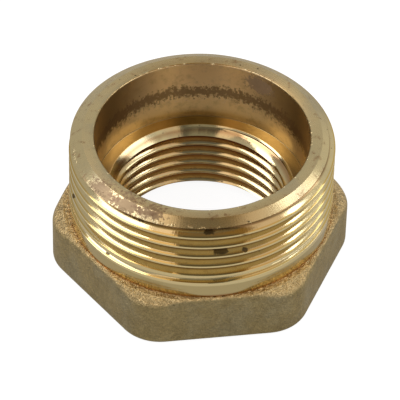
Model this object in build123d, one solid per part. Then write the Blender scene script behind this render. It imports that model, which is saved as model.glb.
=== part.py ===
"""Hex reducing bushing for pipe, forged and turned in brass as one piece.

The part stands on the flat end of its hexagon. The origin is the centre of that end and +Z runs along
the bore, out through the male thread. All sizes are in millimetres.
"""

import os
from math import ceil, floor, radians, tan

from build123d import *
from build123d.topology import SkipClean

# Pipe thread form: parallel, right-hand, the same pitch inside and out. The flanks stand at 55 degrees to
# each other, and crests and roots are left flat, a sixth of the pitch wide.
threads_per_inch = 11
thread_pitch = 25.4 / threads_per_inch
thread_depth = 0.640327 * thread_pitch
thread_flat = thread_pitch / 6

# Where each thread starts: the height of the middle of one groove, above the +X side of the hexagon.
male_groove_height = 23.9
female_groove_height = 11.62

# Thread diameters: over the crests of the male thread, over the roots of the female one.
male_major_diameter = 47.803
female_major_diameter = 33.249

# Lengths along the axis.
hex_height = 10.2
male_end_length = 17.0
plain_land_length = 3.2

# Forged hexagon. Its end is faced flat round the thread, and its corners slope away outside the facing.
hex_across_flats = 49.0
hex_corner_radius = 8.0
hex_facing_diameter = 50.0
hex_corner_slope = 30
hex_bottom_edge_radius = 0.7

# Rim of the male end: a flat face, then a long lead-in chamfer that runs down over the first thread.
lead_chamfer_width = 2.4
lead_chamfer_height = 1.5

# Counterbore above the female thread, slightly wider at its mouth.
counterbore_diameter = 38.7
counterbore_depth = 12.6
counterbore_draft = 1.0

# Mouths of the chamfers at the two ends of the female thread.
upper_chamfer_diameter = 33.7
lower_chamfer_diameter = 34.3
chamfer_angle = 45

# The threads are cut in two sleeves that are then joined to the plain body. A groove is made a sixth of a
# turn at a time, each tool reaching a little past its sixth and past the crests.
male_sleeve_wall = 1.9
female_sleeve_wall = 1.5
sleeve_sectors = 6
tool_overreach = 0.2
tool_overlap_angle = 5

# Sizes that follow from the ones above.
body_height = hex_height + male_end_length
female_minor_diameter = female_major_diameter - 2 * thread_depth
ledge_height = body_height - counterbore_depth
counterbore_floor_diameter = counterbore_diameter - 2 * counterbore_depth * tan(radians(counterbore_draft))
rim_face_diameter = male_major_diameter - 2 * lead_chamfer_width
male_thread_start = hex_height + plain_land_length
male_sleeve_radius = male_major_diameter / 2 - thread_depth - male_sleeve_wall
female_sleeve_radius = female_major_diameter / 2 + female_sleeve_wall


def half_section(*points):
    """Half a turned section, standing over +X, from radius and height pairs."""
    return Plane.XZ * make_face(Polyline(*points, close=True))


def hexagon():
    """The forged hexagon, with its corners rounded and sloped and its lower edge rolled over."""
    outline = RegularPolygon(hex_across_flats / 2, 6, major_radius=False)
    outline = fillet(outline.vertices(), hex_corner_radius)
    prism = extrude(outline, hex_height)
    prism = fillet(prism.faces().sort_by(Axis.Z)[0].edges(), hex_bottom_edge_radius)
    far_radius = hex_across_flats
    facing_radius = hex_facing_diameter / 2
    far_height = hex_height - (far_radius - facing_radius) * tan(radians(hex_corner_slope))
    sloped = half_section(
        (0, hex_height),
        (facing_radius, hex_height),
        (far_radius, far_height),
        (far_radius, -body_height),
        (0, -body_height),
    )
    return prism & revolve(sloped, Axis.Z)


def plain_body():
    """The hexagon, the plain land above it and the tube inside the male thread, with room for both sleeves."""
    crest_radius = male_major_diameter / 2
    tube = half_section(
        (0, hex_height / 2),
        (crest_radius, hex_height / 2),
        (crest_radius, male_thread_start),
        (male_sleeve_radius, male_thread_start),
        (male_sleeve_radius, body_height),
        (0, body_height),
    )
    inside = half_section(
        (0, 0),
        (female_sleeve_radius, 0),
        (female_sleeve_radius, ledge_height),
        (counterbore_floor_diameter / 2, ledge_height),
        (counterbore_diameter / 2, body_height),
        (0, body_height),
    )
    return hexagon() + revolve(tube, Axis.Z) - revolve(inside, Axis.Z)


def groove_tool(crest_radius, inward):
    """A little over one sector of thread groove, from +X on, its middle at height 0 there.

    inward is 1 for a groove that is cut towards the axis and -1 for one cut away from it.
    """
    root_radius = crest_radius - inward * thread_depth
    open_radius = crest_radius + inward * tool_overreach
    root_half = thread_flat / 2
    flank_slope = (thread_pitch / 2 - thread_flat) / thread_depth
    open_half = root_half + (thread_depth + tool_overreach) * flank_slope
    profile = half_section(
        (root_radius, -root_half),
        (root_radius, root_half),
        (open_radius, open_half),
        (open_radius, -open_half),
    )
    turn = 1 / sleeve_sectors + 2 * tool_overlap_angle / 360
    path = Helix(pitch=thread_pitch, height=thread_pitch * turn, radius=crest_radius)
    return sweep(profile, path=path, is_frenet=True)


def threaded_sleeve(section, crest_radius, inward, groove_height):
    """The turned section with a helical groove along its whole length, built up sector by sector."""
    sector_angle = 360 / sleeve_sectors
    tool = groove_tool(crest_radius, inward)
    bottom = section.bounding_box().min.Z
    top = section.bounding_box().max.Z
    sleeve = None
    for sector in range(sleeve_sectors):
        start_angle = sector * sector_angle
        tool_angle = start_angle - tool_overlap_angle
        height = groove_height + thread_pitch * tool_angle / 360
        first = floor((bottom - height) / thread_pitch) - 1
        last = ceil((top - height) / thread_pitch) + 1
        tools = []
        for turn in range(first, last + 1):
            tools.append(Pos(0, 0, height + turn * thread_pitch) * Rot(0, 0, tool_angle) * tool)
        blank = revolve(section.rotate(Axis.Z, start_angle), Axis.Z, sector_angle)
        grooved = blank.cut(*tools)
        sleeve = grooved if sleeve is None else sleeve.fuse(grooved)
    return sleeve


def male_thread():
    """The outer sleeve, with the lead-in chamfer that runs from the rim down over the first thread."""
    crest_radius = male_major_diameter / 2
    section = half_section(
        (male_sleeve_radius, male_thread_start),
        (crest_radius, male_thread_start),
        (crest_radius, body_height - lead_chamfer_height),
        (rim_face_diameter / 2, body_height),
        (male_sleeve_radius, body_height),
    )
    return threaded_sleeve(section, crest_radius, 1, male_groove_height)


def female_thread():
    """The inner sleeve, with a chamfer at each end. Its top is the ledge at the foot of the counterbore."""
    crest_radius = female_minor_diameter / 2
    upper_radius = upper_chamfer_diameter / 2
    lower_radius = lower_chamfer_diameter / 2
    slope = tan(radians(chamfer_angle))
    section = half_section(
        (lower_radius, 0),
        (female_sleeve_radius, 0),
        (female_sleeve_radius, ledge_height),
        (upper_radius, ledge_height),
        (crest_radius, ledge_height - (upper_radius - crest_radius) / slope),
        (crest_radius, (lower_radius - crest_radius) / slope),
    )
    return threaded_sleeve(section, crest_radius, -1, female_groove_height)


body = plain_body()
with SkipClean():  # keeps the faces of the sectors, which would not merge cleanly round a whole turn
    bushing = body.fuse(male_thread(), female_thread())
bushing.label = "bushing_body"
bushing.color = Color(0.72, 0.58, 0.32)

os.makedirs("parts", exist_ok=True)
export_step(bushing, "parts/bushing_body.step")
print("bushing_body", "solids", len(bushing.solids()), "volume mm3", round(bushing.volume, 1))
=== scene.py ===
from math import cos, pi, radians, sin, tan

import bpy
from mathutils import Matrix, Vector


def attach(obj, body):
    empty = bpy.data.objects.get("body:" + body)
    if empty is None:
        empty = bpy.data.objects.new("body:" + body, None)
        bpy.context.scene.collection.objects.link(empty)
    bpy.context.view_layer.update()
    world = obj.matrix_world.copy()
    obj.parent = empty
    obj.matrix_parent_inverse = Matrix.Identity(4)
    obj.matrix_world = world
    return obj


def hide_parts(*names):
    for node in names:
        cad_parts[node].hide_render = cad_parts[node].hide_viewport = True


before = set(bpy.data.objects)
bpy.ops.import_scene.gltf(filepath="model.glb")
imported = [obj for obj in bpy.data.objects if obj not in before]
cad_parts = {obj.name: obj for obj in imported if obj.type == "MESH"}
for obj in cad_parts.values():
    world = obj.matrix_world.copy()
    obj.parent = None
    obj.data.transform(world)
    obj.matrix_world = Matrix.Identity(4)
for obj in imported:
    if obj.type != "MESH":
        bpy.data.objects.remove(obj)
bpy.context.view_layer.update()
print("frame loaded, nodes:", sorted(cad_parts))

# Shapes are built in millimetres and brought to metres once, when a piece is finished.
millimetre = 0.001


def feed(tree, socket, value):
    if isinstance(value, bpy.types.NodeSocket):
        tree.links.new(value, socket)
    else:
        socket.default_value = value


def addNode(tree, kind, values=(), **settings):
    node = tree.nodes.new(kind)
    for key, value in settings.items():
        setattr(node, key, value)
    for socket, value in values:
        feed(tree, node.inputs[socket], value)
    return node


def calc(tree, operation, *terms):
    node = addNode(tree, "ShaderNodeMath", operation=operation)
    for place, term in enumerate(terms):
        feed(tree, node.inputs[place], term)
    return node.outputs[0]


def product(tree, value, *factors):
    for factor in factors:
        value = calc(tree, "MULTIPLY", value, factor)
    return value


def total(tree, value, *others):
    for other in others:
        value = calc(tree, "ADD", value, other)
    return value


def flipped(tree, value):
    return calc(tree, "SUBTRACT", 1.0, value)


def clamped(tree, value):
    return calc(tree, "MINIMUM", calc(tree, "MAXIMUM", value, 0.0), 1.0)


def pick(tree, test, yes, no):
    # the first value where the test is one, the second where it is zero
    return total(tree, product(tree, yes, test), product(tree, no, flipped(tree, test)))


def vectorCalc(tree, operation, first, second=None):
    node = addNode(tree, "ShaderNodeVectorMath", [(0, first)], operation=operation)
    if second is not None:
        feed(tree, node.inputs["Scale" if operation == "SCALE" else 1], second)
    return node.outputs["Value" if operation in ("LENGTH", "DOT_PRODUCT") else "Vector"]


def combined(tree, x=0.0, y=0.0, z=0.0):
    return addNode(tree, "ShaderNodeCombineXYZ", [(0, x), (1, y), (2, z)]).outputs[0]


def separated(tree, vector):
    return addNode(tree, "ShaderNodeSeparateXYZ", [(0, vector)]).outputs


def newTree(name, inputs):
    tree = bpy.data.node_groups.new(name, "GeometryNodeTree")
    tree.interface.new_socket("Geometry", in_out="INPUT", socket_type="NodeSocketGeometry")
    tree.interface.new_socket("Geometry", in_out="OUTPUT", socket_type="NodeSocketGeometry")
    for label, kind in inputs:
        tree.interface.new_socket(label, in_out="INPUT", socket_type="NodeSocket" + kind)
    return tree, tree.nodes.new("NodeGroupInput").outputs, tree.nodes.new("NodeGroupOutput").inputs[0]


def polarGrid(tree, rows, segments):
    # a sheet of rows by segments, with the row number and the angle of each of its points
    columns = total(tree, segments, 1)
    sheet = addNode(tree, "GeometryNodeMeshGrid", [("Vertices X", rows), ("Vertices Y", columns)])
    index = addNode(tree, "GeometryNodeInputIndex").outputs[0]
    row = calc(tree, "FLOOR", calc(tree, "DIVIDE", total(tree, index, 0.5), columns))
    column = calc(tree, "SUBTRACT", index, product(tree, row, columns))
    angle = product(tree, calc(tree, "DIVIDE", column, segments), 2 * pi)
    return sheet.outputs["Mesh"], row, angle


def closedEnds(tree, radius, row, lastRow):
    # the first and the last row shrink to a pole
    atFirst = calc(tree, "COMPARE", row, 0.0, 0.1)
    atLast = calc(tree, "COMPARE", row, lastRow, 0.1)
    return product(tree, radius, flipped(tree, total(tree, atFirst, atLast)))


def wrapRound(tree, sheet, radius, angle, height, material):
    # bends the sheet round the axis and welds its seam and poles
    x = product(tree, radius, calc(tree, "COSINE", angle))
    y = product(tree, radius, calc(tree, "SINE", angle))
    moved = addNode(tree, "GeometryNodeSetPosition", [
        ("Geometry", sheet), ("Position", combined(tree, x, y, height))]).outputs[0]
    weldReach = 0.0005
    welded = addNode(tree, "GeometryNodeMergeByDistance", [
        ("Geometry", moved), ("Distance", weldReach)]).outputs[0]
    outward = addNode(tree, "GeometryNodeFlipFaces", [("Mesh", welded)]).outputs[0]
    real = addNode(tree, "GeometryNodeRealizeInstances", [("Geometry", outward)]).outputs[0]
    return addNode(tree, "GeometryNodeSetMaterial", [("Geometry", real), ("Material", material)]).outputs[0]


def turnedTree():
    # turns the section that the object's own mesh holds: x is the radius, z the height
    tree, given, result = newTree("turned section", [("Segments", "Int"), ("Material", "Material")])
    section = given["Geometry"]
    domain = addNode(tree, "GeometryNodeAttributeDomainSize", [("Geometry", section)])
    sheet, row, angle = polarGrid(tree, domain.outputs["Point Count"], given["Segments"])
    sample = addNode(tree, "GeometryNodeSampleIndex", [("Geometry", section), ("Index", row)],
        data_type="FLOAT_VECTOR", domain="POINT")
    valueSocket = next(s for s in sample.inputs if s.name == "Value" and s.enabled)
    feed(tree, valueSocket, addNode(tree, "GeometryNodeInputPosition").outputs[0])
    spot = separated(tree, next(s for s in sample.outputs if s.enabled))
    tree.links.new(wrapRound(tree, sheet, spot[0], angle, spot[2], given["Material"]), result)
    return tree


def threadTree():
    # a rod with a helical groove: every row of points follows the helix, so crests and roots stay crisp
    tree, given, result = newTree("threaded rod", [
        ("Crest Radius", "Float"), ("Depth", "Float"), ("Pitch", "Float"),
        ("Crest Rounding", "Float"), ("Root Rounding", "Float"),
        ("Rows Per Turn", "Int"), ("Segments", "Int"), ("Bottom", "Float"), ("Top", "Float"),
        ("Crest Height", "Float"), ("Fade Start", "Float"), ("Fade End", "Float"), ("Material", "Material"),
    ])
    halfCrest = 1 / 12   # half of the flat on a crest, in pitches
    flank = 1 / 3        # a flank's length along the axis, in pitches
    crowding = 0.6
    pitch = given["Pitch"]
    bottom = given["Bottom"]
    length = calc(tree, "SUBTRACT", given["Top"], bottom)
    turns = total(tree, calc(tree, "CEIL", calc(tree, "DIVIDE", length, pitch)), 3)
    lastRow = product(tree, turns, given["Rows Per Turn"])
    sheet, row, angle = polarGrid(tree, total(tree, lastRow, 1), given["Segments"])
    # rows crowd together at crests and roots, where the form is round
    share = calc(tree, "DIVIDE", row, given["Rows Per Turn"])
    crowd = product(tree, calc(tree, "SINE", product(tree, share, 4 * pi)), crowding / (4 * pi))
    along = product(tree, calc(tree, "SUBTRACT", share, crowd), pitch)
    rise = product(tree, calc(tree, "DIVIDE", angle, 2 * pi), pitch)
    # the lowest crest that starts a full turn or more below the bottom
    gap = calc(tree, "SUBTRACT", given["Crest Height"], bottom)
    drop = calc(tree, "CEIL", calc(tree, "DIVIDE", gap, pitch))
    start = calc(tree, "SUBTRACT", given["Crest Height"], product(tree, total(tree, drop, 1), pitch))
    free = total(tree, start, along, rise)
    height = calc(tree, "MINIMUM", calc(tree, "MAXIMUM", free, bottom), given["Top"])
    # distance from the nearest crest, in pitches, then down the flank
    phase = calc(tree, "DIVIDE", calc(tree, "SUBTRACT", calc(tree, "SUBTRACT", height, start), rise), pitch)
    offCrest = calc(tree, "PINGPONG", phase, 0.5)
    down = product(tree, calc(tree, "SUBTRACT", offCrest, halfCrest), 1 / flank)
    down = calc(tree, "SMOOTH_MIN", down, 1.0, given["Root Rounding"])
    down = calc(tree, "SMOOTH_MAX", down, 0.0, given["Crest Rounding"])
    cut = product(tree, down, given["Depth"])
    # towards the land the tool backs out, so the groove gets shallower and the crests wider
    fade = addNode(tree, "ShaderNodeMapRange", [
        ("Value", height), ("From Min", given["Fade End"]), ("From Max", given["Fade Start"]),
        ("To Min", given["Depth"]), ("To Max", 0.0),
    ]).outputs[0]
    fadeRounding = 0.12
    cut = calc(tree, "SMOOTH_MAX", calc(tree, "SUBTRACT", cut, fade), 0.0, fadeRounding)
    radius = closedEnds(tree, calc(tree, "SUBTRACT", given["Crest Radius"], cut), row, lastRow)
    tree.links.new(wrapRound(tree, sheet, radius, angle, height, given["Material"]), result)
    return tree


def hexTree():
    # rows run up the hexagon from the middle of its flat end to the middle of its facing
    tree, given, result = newTree("forged hexagon", [
        ("Across Flats", "Float"), ("Corner Radius", "Float"), ("Height", "Float"),
        ("Facing Radius", "Float"), ("Corner Slope", "Float"), ("Bottom Edge", "Float"),
        ("Top Edge", "Float"), ("Edge Rows", "Int"), ("Segments", "Int"), ("Material", "Material"),
    ])
    # rows: centre, end ring, bottom edge, top edge, facing ring, centre
    edgeRows = given["Edge Rows"]
    bottomFirst = 2
    topFirst = total(tree, edgeRows, bottomFirst + 1)
    lastRow = total(tree, product(tree, edgeRows, 2), bottomFirst + 3)
    sheet, row, angle = polarGrid(tree, total(tree, lastRow, 1), given["Segments"])

    def edgeTurn(firstRow):
        # sine and cosine of the way round a rounded edge
        share = clamped(tree, calc(tree, "DIVIDE", calc(tree, "SUBTRACT", row, firstRow), edgeRows))
        turned = product(tree, share, pi / 2)
        return calc(tree, "SINE", turned), calc(tree, "COSINE", turned)

    bottomSine, bottomCosine = edgeTurn(bottomFirst)
    topSine, topCosine = edgeTurn(topFirst)
    bottomInset = product(tree, given["Bottom Edge"], flipped(tree, bottomSine))
    inset = total(tree, bottomInset, product(tree, given["Top Edge"], flipped(tree, topCosine)))
    # outline of a hexagon with round corners, as a radius at each angle from the middle of a flat
    halfSector = pi / 6
    reach = calc(tree, "SUBTRACT", product(tree, given["Across Flats"], 0.5), inset)
    bend = calc(tree, "SUBTRACT", given["Corner Radius"], inset)
    straight = calc(tree, "SUBTRACT", reach, bend)
    flatAngle = calc(tree, "PINGPONG", total(tree, angle, halfSector), halfSector)
    cornerAngle = calc(tree, "SUBTRACT", halfSector, flatAngle)
    onFlat = calc(tree, "DIVIDE", reach, calc(tree, "COSINE", flatAngle))
    centre = calc(tree, "DIVIDE", straight, cos(halfSector))
    sideways = product(tree, centre, calc(tree, "SINE", cornerAngle))
    under = calc(tree, "SUBTRACT", product(tree, bend, bend), product(tree, sideways, sideways))
    arc = calc(tree, "SQRT", calc(tree, "MAXIMUM", under, 0.0))
    onCorner = total(tree, product(tree, centre, calc(tree, "COSINE", cornerAngle)), arc)
    across = product(tree, reach, calc(tree, "TANGENT", flatAngle))
    isCorner = calc(tree, "GREATER_THAN", across, product(tree, straight, tan(halfSector)))
    outline = pick(tree, isCorner, onCorner, onFlat)
    # heights: the sides stop where the sloping corners begin
    beyond = calc(tree, "MAXIMUM", calc(tree, "SUBTRACT", outline, given["Facing Radius"]), 0.0)
    fall = product(tree, beyond, calc(tree, "TANGENT", given["Corner Slope"]))
    topDrop = product(tree, given["Top Edge"], flipped(tree, topSine))
    high = calc(tree, "SUBTRACT", calc(tree, "SUBTRACT", given["Height"], fall), topDrop)
    low = product(tree, given["Bottom Edge"], flipped(tree, bottomCosine))
    isHigh = calc(tree, "GREATER_THAN", row, calc(tree, "SUBTRACT", topFirst, 0.5))
    height = pick(tree, isHigh, high, low)
    # facing ring and the two poles
    isRing = calc(tree, "GREATER_THAN", row, calc(tree, "SUBTRACT", lastRow, 1.5))
    radius = pick(tree, isRing, calc(tree, "MINIMUM", given["Facing Radius"], outline), outline)
    radius = closedEnds(tree, radius, row, lastRow)
    height = pick(tree, isRing, given["Height"], height)
    tree.links.new(wrapRound(tree, sheet, radius, angle, height, given["Material"]), result)
    return tree


def boolean(tree, operation, first, second):
    node = addNode(tree, "GeometryNodeMeshBoolean", operation=operation, solver="MANIFOLD")
    tree.links.new(second, node.inputs["Mesh 2"])
    tree.links.new(first, node.inputs["Mesh 1" if operation == "DIFFERENCE" else "Mesh 2"])
    return node.outputs["Mesh"]


def joinTree():
    # hexagon and threaded rod joined, kept inside the turned outline, then the female thread cut out
    tree, given, result = newTree("hex bushing", [
        ("Threaded End", "Object"), ("Turned Outline", "Object"), ("Female Tap", "Object"),
        ("Forged Radius", "Float"), ("Forged Height", "Float"), ("Scale", "Float"),
        ("Turned Material", "Material"), ("Forged Material", "Material"),
    ])
    parts = {}
    for label in ("Threaded End", "Turned Outline", "Female Tap"):
        found = addNode(tree, "GeometryNodeObjectInfo", [("Object", given[label])])
        parts[label] = found.outputs["Geometry"]
    joined = boolean(tree, "UNION", given["Geometry"], parts["Threaded End"])
    turned = boolean(tree, "INTERSECT", joined, parts["Turned Outline"])
    tapped = boolean(tree, "DIFFERENCE", turned, parts["Female Tap"])
    # what the forging left: the sides and the sloping corners of the hexagon
    flatEnd = 0.05
    place = separated(tree, addNode(tree, "GeometryNodeInputPosition").outputs[0])
    squares = total(tree, product(tree, place[0], place[0]), product(tree, place[1], place[1]))
    outside = calc(tree, "GREATER_THAN", calc(tree, "SQRT", squares), given["Forged Radius"])
    above = calc(tree, "GREATER_THAN", place[2], flatEnd)
    below = calc(tree, "LESS_THAN", place[2], given["Forged Height"])
    forged = product(tree, outside, above, below)
    coated = addNode(tree, "GeometryNodeSetMaterial", [
        ("Geometry", tapped), ("Material", given["Turned Material"])]).outputs[0]
    coated = addNode(tree, "GeometryNodeSetMaterial", [
        ("Geometry", coated), ("Selection", forged), ("Material", given["Forged Material"])]).outputs[0]
    scale = combined(tree, given["Scale"], given["Scale"], given["Scale"])
    sized = addNode(tree, "GeometryNodeTransform", [("Geometry", coated), ("Scale", scale)]).outputs[0]
    real = addNode(tree, "GeometryNodeRealizeInstances", [("Geometry", sized)]).outputs[0]
    tree.links.new(real, result)
    return tree


def addTree(piece, tree, values):
    modifier = piece.modifiers.new(tree.name, "NODES")
    modifier.node_group = tree
    sockets = {item.name: item.identifier for item in tree.interface.items_tree if item.in_out == "INPUT"}
    for label, value in values.items():
        modifier[sockets[label]] = value


def startPiece(name, mesh, tree, values):
    piece = bpy.data.objects.new(name, mesh)
    bpy.context.scene.collection.objects.link(piece)
    addTree(piece, tree, values)
    return piece


def settle(piece):
    # takes the evaluated result as a plain mesh
    bpy.context.view_layer.update()
    view = bpy.context.evaluated_depsgraph_get()
    mesh = bpy.data.meshes.new_from_object(piece.evaluated_get(view), depsgraph=view)
    piece.modifiers.clear()
    piece.data = mesh
    return piece


def roundedSection(corners, steps=4):
    # half-section from (radius, height, edge radius) corners, each edge turned into a short arc
    points = []
    for place, (radius, height, edge) in enumerate(corners):
        here = Vector((radius, height))
        if edge == 0:
            points.append(here)
            continue
        back = (Vector(corners[place - 1][:2]) - here).normalized()
        ahead = (Vector(corners[place + 1][:2]) - here).normalized()
        half = back.angle(ahead) / 2
        run = edge / tan(half)
        middle = here + (back + ahead).normalized() * (edge / sin(half))
        startArm = here + back * run - middle
        endArm = here + ahead * run - middle
        swing = startArm.angle_signed(endArm)
        for step in range(steps + 1):
            turned = startArm.copy()
            turned.rotate(Matrix.Rotation(-swing * step / steps, 2))
            points.append(middle + turned)
    mesh = bpy.data.meshes.new("section")
    edges = [(place, place + 1) for place in range(len(points) - 1)]
    mesh.from_pydata([(point.x, 0, point.y) for point in points], edges, [])
    return mesh


# Pipe thread, the same form inside and out
thread = {
    "pitch": 25.4 / 11,
    "depth": 0.640327 * 25.4 / 11,
    "crestRounding": 0.08,  # how far the crest's edges are rounded, as a share of the flank
    "rootRounding": 0.50,
    "rowsPerTurn": 24,
}

# Hexagon: forged, with a turned facing round the thread
hexagon = {
    "acrossFlats": 49.0,
    "cornerRadius": 8.0,
    "height": 10.2,
    "facingRadius": 25.0,
    "cornerSlope": 30,
    "bottomEdge": 0.8,
    "topEdge": 0.7,
    "edgeRows": 5,
    "segments": 288,
}

# Male end, from the facing of the hexagon up to the rim
maleEnd = {
    "crestRadius": 47.803 / 2,
    "rimHeight": 27.2,
    "rimFaceRadius": 21.5,
    "leadChamfer": 1.5,
    "leadEdge": 0.12,
    "crestHeight": 24.42,   # one crest's height on the side with the angle below
    "crestAngle": -98.7,
    "runOutTop": 15.6,      # the groove starts to fade here and is gone at the land
    "landTop": 12.5,
    "segments": 240,
}

# Counterbore, ledge and female thread
bore = {
    "mouthRadius": 19.35,
    "floorRadius": 19.13,
    "depth": 12.6,
    "mouthEdge": 0.24,
    "floorEdge": 0.1,
    "ledgeEdge": 0.06,
    "lowerEdge": 0.1,
    "upperChamferRadius": 16.85,
    "lowerChamferRadius": 17.15,
    "rootRadius": 33.249 / 2,
    "crestTrim": 0.03,
    "crestHeight": 13.3,
    "crestAngle": 81.3,
    "segments": 180,
}

# Turned outline: the section that trims the joined hexagon and rod, clear of them where it doesn't cut
outline = {
    "innerRadius": 14.0,    # inside the female thread, so that only the tap cuts there
    "outerRadius": 31.0,
    "spare": 1.0,
    "hexagonSpare": 0.6,
    "facingSpare": 0.5,
    "landStart": 2.0,
    "crestSpare": 0.3,
    "segments": 240,
}

rim = maleEnd["rimHeight"]
ledge = rim - bore["depth"]
crest = maleEnd["crestRadius"]
mouth = bore["mouthRadius"]
leadStart = rim - maleEnd["leadChamfer"]
hexTop = hexagon["height"]
inner = outline["innerRadius"]
section = [
    (inner, -outline["spare"], 0),
    (outline["outerRadius"], -outline["spare"], 0),
    (outline["outerRadius"], hexTop + outline["hexagonSpare"], 0),
    (hexagon["facingRadius"] + outline["facingSpare"], hexTop + outline["hexagonSpare"], 0),
    (crest + outline["crestSpare"], hexTop + outline["landStart"], 0),
    (crest + outline["crestSpare"], leadStart + 0.1, 0),
    (crest + 0.05, leadStart - 0.02, 0),
    (maleEnd["rimFaceRadius"], rim, maleEnd["leadEdge"]),
    (mouth, rim, bore["mouthEdge"]),
    (bore["floorRadius"], ledge, bore["floorEdge"]),
    (bore["upperChamferRadius"], ledge, bore["ledgeEdge"]),
    (inner, ledge - (bore["upperChamferRadius"] - inner), 0),
    (inner, bore["lowerChamferRadius"] - inner, 0),
    (bore["lowerChamferRadius"], 0.0, bore["lowerEdge"]),
    (bore["lowerChamferRadius"] + outline["spare"], -outline["spare"], 0),
    (inner, -outline["spare"], 0),
]


def noise(tree, vector, scale, detail=3.0, roughness=0.55):
    return addNode(tree, "ShaderNodeTexNoise", [
        ("Vector", vector), ("Scale", scale), ("Detail", detail), ("Roughness", roughness)]).outputs[0]


def swayed(tree, value, reach):
    # a noise's value about its middle, as a push of up to half the reach either way
    return product(tree, calc(tree, "SUBTRACT", value, 0.5), reach)


def span(tree, value, low, high, start=0.0, end=1.0):
    # eases from start to end while the value goes from low to high
    return addNode(tree, "ShaderNodeMapRange", [
        ("Value", value), ("From Min", low), ("From Max", high), ("To Min", start), ("To Max", end)],
        interpolation_type="SMOOTHSTEP").outputs[0]


def within(tree, value, rise, fall):
    # one between two soft edges; each edge goes from its first number, outside, to its second
    return product(tree, span(tree, value, *rise), span(tree, value, *fall))


def blend(tree, amount, under, over):
    node = addNode(tree, "ShaderNodeMix", [(0, amount)], data_type="RGBA")
    for place, colour in ((6, under), (7, over)):
        feed(tree, node.inputs[place], colour if isinstance(colour, bpy.types.NodeSocket) else (*colour, 1))
    return node.outputs[2]


def surfaceGroup(name, inputs, outputs):
    group = bpy.data.node_groups.new(name, "ShaderNodeTree")
    for label, kind in inputs:
        group.interface.new_socket(label, in_out="INPUT", socket_type="NodeSocket" + kind)
    for label, kind in outputs:
        group.interface.new_socket(label, in_out="OUTPUT", socket_type="NodeSocket" + kind)
    return group, group.nodes.new("NodeGroupInput").outputs, group.nodes.new("NodeGroupOutput").inputs


def useGroup(tree, group, values=()):
    node = tree.nodes.new("ShaderNodeGroup")
    node.node_tree = group
    for socket, value in values:
        feed(tree, node.inputs[socket], value)
    return node.outputs


def placeGroup():
    # where a point is on the piece: millimetres from the axis, up, and a direction round it
    group, _, out = surfaceGroup("place on the piece", [], [
        ("Across", "Float"), ("Up", "Float"), ("Round", "Vector"), ("Turning", "Vector"),
        ("Chatter", "Vector"), ("Streaks", "Vector"), ("Place", "Vector")])
    objectPlace = addNode(group, "ShaderNodeTexCoord").outputs["Object"]
    place = vectorCalc(group, "SCALE", objectPlace, 1 / millimetre)
    axes = separated(group, place)
    flat = combined(group, axes[0], axes[1])
    across = vectorCalc(group, "LENGTH", flat)
    around = vectorCalc(group, "NORMALIZE", flat)
    sides = separated(group, around)
    # long thin marks round the piece, one for each pass of the tool
    level = total(group, across, product(group, axes[2], 1.1))
    turning = combined(group, product(group, sides[0], 1.2), product(group, sides[1], 1.2),
        product(group, level, 9.0))
    found = {"Across": across, "Up": axes[2], "Round": around, "Turning": turning, "Place": place}
    # short upright marks: how many there are round the piece, and how fast they change on the way up
    for label, number, change in (("Chatter", 90.0, 0.3), ("Streaks", 40.0, 0.35)):
        upright = combined(group, z=product(group, axes[2], change))
        found[label] = vectorCalc(group, "ADD", vectorCalc(group, "SCALE", around, number), upright)
    for label, socket in found.items():
        group.links.new(socket, out[label])
    return group


def tarnishGroup():
    # brown stains, dark spots and grey dulling over the clean brass
    group, given, out = surfaceGroup("tarnish", [
        ("Vector", "Vector"), ("Clean", "Color"), ("Brown", "Color"), ("Grey", "Color"),
        ("Stains", "Float"), ("Spots", "Float")], [("Color", "Color"), ("Dullness", "Float")])
    spotColour = (0.05, 0.03, 0.015)
    greyness = span(group, noise(group, given["Vector"], 0.16, 5.0, 0.62), 0.42, 0.66)
    patches = span(group, noise(group, given["Vector"], 0.55, 6.0, 0.7), 0.54, 0.68)
    dots = span(group, noise(group, given["Vector"], 1.3, 2.0, 0.5), 0.72, 0.76)
    stains = product(group, patches, given["Stains"])
    dots = product(group, dots, given["Spots"])
    colour = blend(group, product(group, greyness, 0.5), given["Clean"], given["Grey"])
    colour = blend(group, stains, colour, given["Brown"])
    group.links.new(blend(group, dots, colour, spotColour), out["Color"])
    group.links.new(calc(group, "MINIMUM", total(group, stains, dots), 1.0), out["Dullness"])
    return group


def stainGroup():
    # one ragged stain: an ellipsoid about a place, with its edge broken by noise
    group, given, out = surfaceGroup("stain", [
        ("Vector", "Vector"), ("Place", "Vector"), ("Size", "Vector"), ("Ragged", "Float")],
        [("Amount", "Float")])
    away = vectorCalc(group, "SUBTRACT", given["Vector"], given["Place"])
    reach = vectorCalc(group, "LENGTH", vectorCalc(group, "DIVIDE", away, given["Size"]))
    edge = swayed(group, noise(group, given["Vector"], 1.5, 6.0, 0.7), given["Ragged"])
    group.links.new(span(group, total(group, reach, edge), 1.1, 0.75), out["Amount"])
    return group


def sectorGroup():
    # a share of the way round, about one direction
    group, given, out = surfaceGroup("sector", [
        ("Round", "Vector"), ("Middle", "Float"), ("Half Width", "Float"), ("Softness", "Float")],
        [("Amount", "Float")])
    middle = combined(group, calc(group, "COSINE", given["Middle"]), calc(group, "SINE", given["Middle"]))
    closeness = vectorCalc(group, "DOT_PRODUCT", given["Round"], middle)
    angle = calc(group, "ARCCOSINE", calc(group, "MINIMUM", closeness, 0.99999))
    low = total(group, given["Half Width"], given["Softness"])
    high = calc(group, "SUBTRACT", given["Half Width"], given["Softness"])
    group.links.new(span(group, angle, low, high), out["Amount"])
    return group


placeOnPiece = placeGroup()
tarnish = tarnishGroup()
stain = stainGroup()
sector = sectorGroup()


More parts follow.
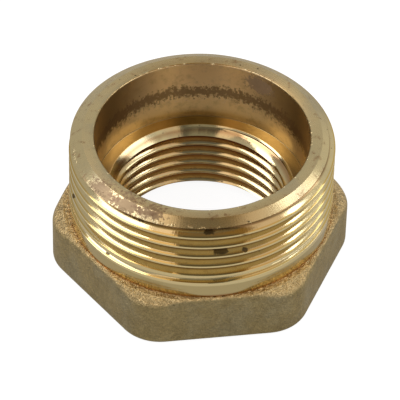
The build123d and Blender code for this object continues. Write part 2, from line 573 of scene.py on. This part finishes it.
def newBrass(name):
    material = bpy.data.materials.new(name)
    material.use_nodes = True
    tree = material.node_tree
    shader = tree.nodes["Principled BSDF"]
    shader.inputs["Metallic"].default_value = 1
    return material, tree, shader, useGroup(tree, placeOnPiece)


def tarnished(tree, spot, look, stains, spots):
    return useGroup(tree, tarnish, [
        ("Vector", spot["Place"]), ("Clean", (*look["clean"], 1)), ("Brown", (*look["brown"], 1)),
        ("Grey", (*look["grey"], 1)), ("Stains", stains), ("Spots", spots)])


turnedFinish = {
    "clean": (0.78, 0.625, 0.32),
    "brown": (0.40, 0.24, 0.11),
    "grey": (0.60, 0.51, 0.31),
    # groove and root: painted shade down the thread grooves, darkest at the roots
    "groove": (0.56, 0.36, 0.14),
    "root": (0.15, 0.065, 0.015),
    # painted highlight on the crests, then a painted darker reflection on their rounded edges
    "crest": (1.0, 0.80, 0.40),
    "crestEdgeReflection": (0.66, 0.44, 0.11),
    "land": (0.68, 0.53, 0.24),
    # painted shade in the female thread's grooves and in the corner at the foot of the land
    "recessShade": (0.38, 0.17, 0.055),
    "ledge": (0.40, 0.28, 0.11),
    "roughness": 0.115,
    "rimRoughness": 0.26,
    "dullRoughness": 0.2,   # how much rougher tarnish and marks are
    "brushed": 0.80,
    "turningMarks": 0.07,
    "chatter": 0.13,
    "grit": 0.015,
    "nicks": 2.2,
    "relief": 0.03,         # in mm
}

# Counterbore wall: painted reflection and shade, brown and dark at the sides, lighter on the far side, with
# a darker ragged band of painted reflection
paintedWallReflection = {
    "side": (0.26, 0.165, 0.055),
    "farReflection": (1.0, 0.73, 0.37),
    "low": (0.95, 0.68, 0.30),
    "darkReflectionBand": (0.17, 0.09, 0.03),
    "bandBottom": 19.6,
    "bandTop": 21.6,
    "reflectingSide": 81.3,
    "farWidth": 34,
    "farSoftness": 26,
    "roughness": 0.33,
}

# Marks left by handling: place and size in mm
marksLeft = {
    "dark": {"colour": (0.05, 0.025, 0.008), "amount": 0.8, "ragged": 1.6, "places": [
        ((-13.4, -18.0, 25.9), (1.3, 1.0, 0.25)),
        ((-10.8, -19.4, 26.3), (0.8, 0.7, 0.2)),
        ((4.9, -21.9, 26.3), (0.7, 0.6, 0.2)),
        ((-1.9, -22.7, 25.2), (1.0, 1.0, 0.4)),
        ((0.2, -22.9, 20.6), (1.4, 1.0, 0.8)),
        ((4.5, -23.1, 20.4), (0.6, 0.7, 0.4)),
        ((3.4, -22.6, 24.5), (2.2, 1.0, 0.3)),
        ((-18.6, -14.2, 13.6), (0.5, 0.5, 0.4)),
        ((-23.4, -2.7, 17.4), (0.5, 0.6, 0.5)),
    ]},
    "film": {"colour": (0.30, 0.19, 0.11), "amount": 0.75, "ragged": 3.0, "places": [
        ((12.6, 14.7, 24.9), (3.0, 3.0, 1.9)),
        ((-18.9, -11.7, 26.4), (3.8, 3.6, 0.9)),
        ((-15.2, -15.4, 26.6), (4.0, 3.4, 0.8)),
        ((-11.5, -18.3, 26.8), (3.4, 2.0, 0.6)),
    ]},
}


def paintThreads(tree, spot, colour, outside, look):
    across, up = spot["Across"], spot["Up"]
    # the grooves are painted darker towards their roots, inside and out: painted shade, darkest at the root
    belowLead = span(tree, up, rim - 1.2, rim - 1.5)
    outerGrooveShade = product(tree, span(tree, across, crest - 0.7, crest - 1.45), belowLead, outside)
    outerRootShadow = product(tree, span(tree, across, crest - 0.85, crest - 1.18), outerGrooveShade)
    colour = blend(tree, product(tree, outerGrooveShade, 0.6), colour, look["groove"])
    colour = blend(tree, product(tree, outerRootShadow, 0.85), colour, look["root"])
    # crests get a painted highlight, with a painted brown reflection on their rounded edges; the land below
    # them is duller
    onCrest = product(tree, span(tree, across, crest - 0.06, crest - 0.02), outside)
    aboveLand = span(tree, up, maleEnd["landTop"] + 0.2, maleEnd["landTop"] + 0.5)
    colour = blend(tree, product(tree, onCrest, aboveLand), colour, look["crest"])
    colour = blend(tree, product(tree, onCrest, flipped(tree, aboveLand), 0.8), colour, look["land"])
    # painted darker reflection on the rounded edge of each crest
    crestEdgeReflection = within(tree, across, (crest - 0.34, crest - 0.22), (crest - 0.03, crest - 0.07))
    crestEdgeReflection = product(tree, crestEdgeReflection, span(tree, up, rim - 1.5, rim - 1.8))
    colour = blend(tree, product(tree, crestEdgeReflection, 0.8), colour, look["crestEdgeReflection"])
    # painted shade in the grooves of the female thread, up to where its chamfer starts
    tapRoot = bore["rootRadius"]
    tapCrest = tapRoot - thread["depth"]
    chamfer = bore["lowerChamferRadius"]
    innerGrooveShade = within(tree, across, (tapCrest + 0.25, tapRoot - 0.22), (chamfer + 0.25, chamfer + 0.05))
    innerGrooveShade = product(tree, innerGrooveShade, span(tree, up, ledge - 0.3, ledge - 0.8))
    colour = blend(tree, product(tree, innerGrooveShade, 0.7), colour, look["recessShade"])
    # painted shade in the corner between the land and the facing
    facing = hexagon["facingRadius"]
    nearFacing = span(tree, up, hexTop + 0.7, hexTop + 0.2)
    nearLand = span(tree, across, facing - 0.1, facing - 0.7)
    landFootShade = product(tree, nearFacing, nearLand, outside)
    return blend(tree, product(tree, landFootShade, 0.75), colour, look["recessShade"])


def paintCounterbore(tree, spot, colour, look, wall):
    # painted reflection and shade: dark sides, lighter far side, golden foot, ragged dark band
    across, up = spot["Across"], spot["Up"]
    bottom, top = wall["bandBottom"], wall["bandTop"]
    aboveLedge = span(tree, up, ledge - 0.1, ledge + 0.1)
    onWall = product(tree, aboveLedge, span(tree, across, mouth + 0.25, mouth + 0.05))
    reflectingSide = useGroup(tree, sector, [
        ("Round", spot["Round"]), ("Middle", radians(wall["reflectingSide"])),
        ("Half Width", radians(wall["farWidth"])), ("Softness", radians(wall["farSoftness"]))])["Amount"]
    streaks = swayed(tree, noise(tree, spot["Streaks"], 1.0, 5.0, 0.75), 2.6)
    crinkle = swayed(tree, noise(tree, spot["Place"], 1.5, 4.0, 0.7), 6.0)
    raggedUp = total(tree, up, streaks, crinkle)
    foot = span(tree, raggedUp, bottom, bottom - 1.6)
    darkReflectionBand = within(tree, raggedUp, (bottom - 0.5, bottom + 0.4), (top + 0.6, top - 0.3))
    patches = span(tree, noise(tree, spot["Place"], 0.5, 6.0, 0.7), 0.45, 0.7, 0.0, 0.35)
    wallColour = blend(tree, reflectingSide, wall["side"], wall["farReflection"])
    wallColour = blend(tree, product(tree, foot, 0.85), wallColour, wall["low"])
    wallColour = blend(tree, product(tree, darkReflectionBand, 0.8), wallColour, wall["darkReflectionBand"])
    wallColour = blend(tree, patches, wallColour, wall["side"])
    colour = blend(tree, product(tree, onWall, 0.92), colour, wallColour)
    start, end = bore["upperChamferRadius"], bore["floorRadius"]
    acrossLedge = within(tree, across, (start + 0.05, start + 0.15), (end + 0.17, end + 0.07))
    atLedge = within(tree, up, (ledge - 0.2, ledge - 0.1), (ledge + 0.2, ledge + 0.1))
    return blend(tree, product(tree, acrossLedge, atLedge), colour, look["ledge"]), onWall


def paintMarks(tree, spot, colour, kinds):
    # returns the colour, and where any mark lies
    marked = 0.0
    for kind in kinds.values():
        for middle, size in kind["places"]:
            mask = useGroup(tree, stain, [
                ("Vector", spot["Place"]), ("Place", middle), ("Size", size),
                ("Ragged", kind["ragged"])])["Amount"]
            colour = blend(tree, product(tree, mask, kind["amount"]), colour, kind["colour"])
            marked = calc(tree, "MAXIMUM", mask, marked)
    return colour, marked


def burrHeight(tree, spot, outside):
    # burrs round the mouth and along the foot of the lead-in chamfer
    across, up = spot["Across"], spot["Up"]
    nearMouth = span(tree, across, mouth + 0.4, mouth + 0.25)
    atMouth = product(tree, nearMouth, span(tree, up, rim - 0.45, rim - 0.3))
    atFoot = within(tree, up, (rim - 1.25, rim - 1.05), (rim - 0.75, rim - 0.9))
    burrs = calc(tree, "MAXIMUM", atMouth, product(tree, atFoot, outside, 0.5))
    nicks = span(tree, noise(tree, spot["Place"], 0.9, 3.0, 0.6), 0.55, 0.66)
    return product(tree, nicks, burrs)


def makeTurnedBrass(look, wall, kinds):
    material, tree, shader, spot = newBrass("turned brass")
    outside = span(tree, spot["Across"], mouth + 0.45, mouth + 0.85)
    worn = product(tree, span(tree, spot["Up"], rim - 1.7, rim - 1.2), outside)
    coat = tarnished(tree, spot, look, total(tree, product(tree, worn, 0.45), 0.25), 0.9)
    colour = paintThreads(tree, spot, coat["Color"], outside, look)
    colour, onWall = paintCounterbore(tree, spot, colour, look, wall)
    colour, marked = paintMarks(tree, spot, colour, kinds)
    tree.links.new(colour, shader.inputs["Base Color"])
    # the tool left its marks round the piece, so shine spreads across them
    shader.inputs["Anisotropic"].default_value = look["brushed"]
    shader.inputs["Anisotropic Rotation"].default_value = 0.25   # a quarter of a turn
    marks = noise(tree, spot["Turning"], 1.0, 3.0, 0.6)
    extra = product(tree, worn, look["rimRoughness"] - look["roughness"])
    dulled = product(tree, coat["Dullness"], look["dullRoughness"])
    rough = total(tree, look["roughness"], extra, dulled, swayed(tree, marks, 0.12))
    rough = calc(tree, "MAXIMUM", rough, product(tree, onWall, wall["roughness"]))
    rough = total(tree, rough, product(tree, marked, look["dullRoughness"]))
    tree.links.new(rough, shader.inputs["Roughness"])
    chatter = noise(tree, spot["Chatter"], 1.0, 1.0, 0.5)
    grit = noise(tree, spot["Place"], 6.0, 4.0, 0.65)
    burrs = burrHeight(tree, spot, outside)
    height = total(tree,
        product(tree, marks, look["turningMarks"]), product(tree, grit, look["grit"]),
        product(tree, chatter, look["chatter"]), product(tree, burrs, look["nicks"]))
    bump = addNode(tree, "ShaderNodeBump", [("Height", height), ("Distance", look["relief"] * millimetre)])
    tree.links.new(bump.outputs[0], shader.inputs["Normal"])
    return material


forgedFinish = {
    "clean": (0.46, 0.35, 0.155),
    "brown": (0.30, 0.21, 0.10),
    "grey": (0.38, 0.33, 0.20),
    # painted light on the upward-facing tops of the corners
    "top": (0.76, 0.55, 0.25),
    "roughness": 0.48,
    "topShine": 0.14,       # how much less rough the tops of the corners are
    "relief": 0.4,          # in mm
}


def makeForgedBrass(look):
    material, tree, shader, spot = newBrass("forged brass")
    place = spot["Place"]
    coat = tarnished(tree, spot, look, 0.3, 0.5)
    # painted light: the tops of the corners, which face up, are painted brighter than the sides
    facing = separated(tree, addNode(tree, "ShaderNodeNewGeometry").outputs["Normal"])
    top = span(tree, facing[2], 0.35, 0.75)
    grain = noise(tree, place, 1.7, 3.0, 0.6)
    fine = noise(tree, place, 3.6, 3.0, 0.65)
    cloud = noise(tree, place, 0.32, 5.0, 0.65)
    drift = addNode(tree, "ShaderNodeTexNoise", [("Vector", place), ("Scale", 0.9)]).outputs["Color"]
    hammered = addNode(tree, "ShaderNodeTexVoronoi", [
        ("Vector", vectorCalc(tree, "ADD", place, drift)), ("Scale", 1.15), ("Smoothness", 0.6)],
        feature="SMOOTH_F1").outputs["Distance"]
    colour = blend(tree, product(tree, top, 0.85), coat["Color"], look["top"])
    # painted shade in the dents of the hammered tops
    dentShade = product(tree, span(tree, hammered, 0.30, 0.62, 0.0, 0.20), top)
    shade = product(tree,
        span(tree, grain, 0.35, 0.65, 0.92, 1.06), span(tree, fine, 0.32, 0.68, 0.80, 1.16),
        span(tree, cloud, 0.35, 0.65, 0.88, 1.08), calc(tree, "SUBTRACT", 1.06, dentShade))
    tree.links.new(vectorCalc(tree, "SCALE", colour, shade), shader.inputs["Base Color"])
    rough = total(tree, look["roughness"], swayed(tree, fine, 0.4), product(tree, top, -look["topShine"]))
    tree.links.new(rough, shader.inputs["Roughness"])
    height = total(tree,
        product(tree, grain, 0.8), product(tree, fine, 0.45), product(tree, hammered, top, -0.4))
    bump = addNode(tree, "ShaderNodeBump", [("Height", height), ("Distance", look["relief"] * millimetre)])
    tree.links.new(bump.outputs[0], shader.inputs["Normal"])
    return material


turnedBrass = makeTurnedBrass(turnedFinish, paintedWallReflection, marksLeft)
forgedBrass = makeForgedBrass(forgedFinish)
print("materials ready:", turnedBrass.name, "and", forgedBrass.name)

rodTree = threadTree()
risePerDegree = thread["pitch"] / 360
noFade = -50.0   # far below the rod, so that its groove never fades
rodForm = {
    "Pitch": thread["pitch"], "Crest Rounding": thread["crestRounding"],
    "Root Rounding": thread["rootRounding"], "Rows Per Turn": thread["rowsPerTurn"], "Material": turnedBrass,
}
hexPiece = startPiece("bushing", bpy.data.meshes.new("hexagon"), hexTree(), {
    "Across Flats": hexagon["acrossFlats"], "Corner Radius": hexagon["cornerRadius"], "Height": hexTop,
    "Facing Radius": hexagon["facingRadius"], "Corner Slope": radians(hexagon["cornerSlope"]),
    "Bottom Edge": hexagon["bottomEdge"], "Top Edge": hexagon["topEdge"], "Edge Rows": hexagon["edgeRows"],
    "Segments": hexagon["segments"], "Material": forgedBrass,
})
threadedEnd = startPiece("threadedEnd", bpy.data.meshes.new("threadedEnd"), rodTree, {
    **rodForm, "Crest Radius": crest, "Depth": thread["depth"], "Segments": maleEnd["segments"],
    "Bottom": hexTop - 2.0, "Top": rim + outline["spare"],
    "Crest Height": maleEnd["crestHeight"] - maleEnd["crestAngle"] * risePerDegree,
    "Fade Start": maleEnd["runOutTop"], "Fade End": maleEnd["landTop"],
})
femaleTap = startPiece("femaleTap", bpy.data.meshes.new("femaleTap"), rodTree, {
    **rodForm, "Crest Radius": bore["rootRadius"], "Depth": thread["depth"] - bore["crestTrim"],
    "Segments": bore["segments"], "Bottom": -outline["spare"], "Top": ledge + outline["spare"],
    "Crest Height": bore["crestHeight"] + thread["pitch"] / 2 - bore["crestAngle"] * risePerDegree,
    "Fade Start": noFade, "Fade End": noFade - 1,
})
turnedOutline = startPiece("turnedOutline", roundedSection(section), turnedTree(), {
    "Segments": outline["segments"], "Material": turnedBrass,
})
for tool in (threadedEnd, turnedOutline, femaleTap, hexPiece):
    settle(tool)
    print("made", tool.name, len(tool.data.vertices), "points")

addTree(hexPiece, joinTree(), {
    "Threaded End": threadedEnd, "Turned Outline": turnedOutline, "Female Tap": femaleTap,
    "Forged Radius": crest + 0.05, "Forged Height": hexTop + 0.05, "Scale": millimetre,
    "Turned Material": turnedBrass, "Forged Material": forgedBrass,
})
bushing = settle(hexPiece)
for tool in (threadedEnd, turnedOutline, femaleTap):
    bpy.data.objects.remove(tool)
bushing.data.shade_smooth()
bushing.data.set_sharp_from_angle(angle=radians(28))
print("made the bushing:", len(bushing.data.polygons), "faces in", len(bushing.data.materials), "materials")

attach(bushing, "root")
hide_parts("bushing_body")

# Camera: angles in degrees, distance in metres, aim (to the right and up) and lens in mm
cameraPlace = {
    "azimuth": -98.72,
    "elevation": 43.31,
    "roll": -1.39,
    "distance": 0.6347,
    "aim": (-0.142, 11.253),
    "lens": 314.4,
}
azimuth = radians(cameraPlace["azimuth"])
elevation = radians(cameraPlace["elevation"])
roll = radians(cameraPlace["roll"])
forward = -Vector((cos(azimuth) * cos(elevation), sin(azimuth) * cos(elevation), sin(elevation)))
right = Vector((-sin(azimuth), cos(azimuth), 0))
above = right.cross(forward)
aim = (right * cameraPlace["aim"][0] + Vector((0, 0, cameraPlace["aim"][1]))) * millimetre
cameraData = bpy.data.cameras.new("camera")
cameraData.lens = cameraPlace["lens"]
cameraData.clip_start = 0.01
camera = bpy.data.objects.new("camera", cameraData)
bpy.context.scene.collection.objects.link(camera)
sideways = right * cos(roll) - above * sin(roll)
upwards = right * sin(roll) + above * cos(roll)
turn = Matrix((sideways, upwards, -forward)).transposed().to_4x4()
camera.matrix_world = Matrix.Translation(aim - forward * cameraPlace["distance"]) @ turn
bpy.context.scene.camera = camera

# Floor: pale paper, lifted to white where the eye sees it
paper = {"size": 3.0, "colour": 0.22, "lift": 0.93, "mirroredLift": 0.32}
floorMaterial = bpy.data.materials.new("paper floor")
floorMaterial.use_nodes = True
tree = floorMaterial.node_tree
tree.nodes.clear()
matt = addNode(tree, "ShaderNodeBsdfDiffuse", [("Color", (*[paper["colour"]] * 3, 1))])
rays = addNode(tree, "ShaderNodeLightPath").outputs
mirrored = calc(tree, "MAXIMUM", rays["Is Glossy Ray"], rays["Is Transmission Ray"])
seen = product(tree, rays["Is Camera Ray"], paper["lift"])
glow = addNode(tree, "ShaderNodeEmission", [
    ("Strength", total(tree, seen, product(tree, mirrored, paper["mirroredLift"])))])
both = addNode(tree, "ShaderNodeAddShader", [(0, matt.outputs[0]), (1, glow.outputs[0])])
addNode(tree, "ShaderNodeOutputMaterial", [("Surface", both.outputs[0])])
corners = [(x * paper["size"], y * paper["size"], 0) for x, y in ((-1, -1), (1, -1), (1, 1), (-1, 1))]
floorMesh = bpy.data.meshes.new("floor")
floorMesh.from_pydata(corners, [], [(0, 1, 2, 3)])
floorMesh.materials.append(floorMaterial)
floor = bpy.data.objects.new("floor", floorMesh)
bpy.context.scene.collection.objects.link(floor)
print("camera and floor ready")

# Studio room: plain grey walls, a warm strip of ceiling between the lamps, and the dark viewer.
# An edge is where a colour starts and where it is full, along right, up or towards the viewer.
studio = {
    "walls": (0.46, 0.46, 0.47),
    "rightWall": (0.64, 0.64, 0.63),
    "rightWallEdge": (0.42, 0.60),
    "leftSpill": (1.08, 0.90, 0.80),
    "leftSpillEdges": ((-0.45, -0.40), (0.0, -0.05)),
    "rightSpill": (0.72, 0.60, 0.53),
    "rightSpillEdges": ((0.25, 0.30), (0.60, 0.52)),
    "spillFoot": (0.66, 0.80),
    "ceiling": (0.25, 0.145, 0.035),
    "ceilingEdges": ((-0.215, -0.195), (0.35, 0.31)),
    "ceilingFoot": (0.72, 0.84),
    "viewer": (0.13, 0.13, 0.125),
    "viewerEdge": (0.76, 0.84),
    "face": (0.27, 0.27, 0.25),
    "faceEdge": (0.955, 0.98),
}
world = bpy.data.worlds.new("studio")
bpy.context.scene.world = world
world.use_nodes = True
tree = world.node_tree
tree.nodes.clear()
way = addNode(tree, "ShaderNodeTexCoord").outputs["Generated"]
aside = vectorCalc(tree, "DOT_PRODUCT", way, tuple(right))
up = vectorCalc(tree, "DOT_PRODUCT", way, (0, 0, 1))
towardsViewer = vectorCalc(tree, "DOT_PRODUCT", way, tuple(-forward))
room = blend(tree, span(tree, aside, *studio["rightWallEdge"]), studio["walls"], studio["rightWall"])
for spill in ("leftSpill", "rightSpill"):
    lit = within(tree, aside, *studio[spill + "Edges"])
    room = blend(tree, product(tree, lit, span(tree, up, *studio["spillFoot"])), room, studio[spill])
strip = within(tree, aside, *studio["ceilingEdges"])
room = blend(tree, product(tree, strip, span(tree, up, *studio["ceilingFoot"])), room, studio["ceiling"])
viewer = product(tree, strip, span(tree, towardsViewer, *studio["viewerEdge"]))
room = blend(tree, viewer, room, studio["viewer"])
room = blend(tree, span(tree, towardsViewer, *studio["faceEdge"]), room, studio["face"])
sky = addNode(tree, "ShaderNodeBackground", [("Color", room)])
addNode(tree, "ShaderNodeOutputWorld", [("Surface", sky.outputs[0])])

# Softboxes, placed by direction from the piece: towards the viewer, to the right, up
softboxes = {
    "left": {"middle": (-0.03, -0.69, 0.72), "size": (0.42, 0.80), "radiance": 2.7},
    "right": {"middle": (-0.25, 0.535, 0.81), "size": (0.36, 0.15), "radiance": 4.0},
    "side": {"middle": (0.0, 0.83, 0.55), "size": (0.80, 0.28), "radiance": 1.8},
}
lampDistance = 1.0
lampTint = (0.95, 0.98, 1.14)
toFront = Vector((cos(azimuth), sin(azimuth), 0))
for name, box in softboxes.items():
    front, side, high = box["middle"]
    direction = (toFront * front + right * side + Vector((0, 0, high))).normalized()
    lampData = bpy.data.lights.new(name, "AREA")
    lampData.shape = "RECTANGLE"
    lampData.size, lampData.size_y = box["size"]
    lampData.color = lampTint
    lampData.energy = box["radiance"] * pi * box["size"][0] * box["size"][1]
    lamp = bpy.data.objects.new(name + "Softbox", lampData)
    bpy.context.scene.collection.objects.link(lamp)
    lamp.visible_camera = False
    long = (toFront - direction * toFront.dot(direction)).normalized()
    facing = Matrix((long, direction.cross(long), direction)).transposed().to_4x4()
    lamp.matrix_world = Matrix.Translation(direction * lampDistance) @ facing
print("room and", len(softboxes), "softboxes ready")

bpy.context.scene.view_settings.view_transform = "Standard"
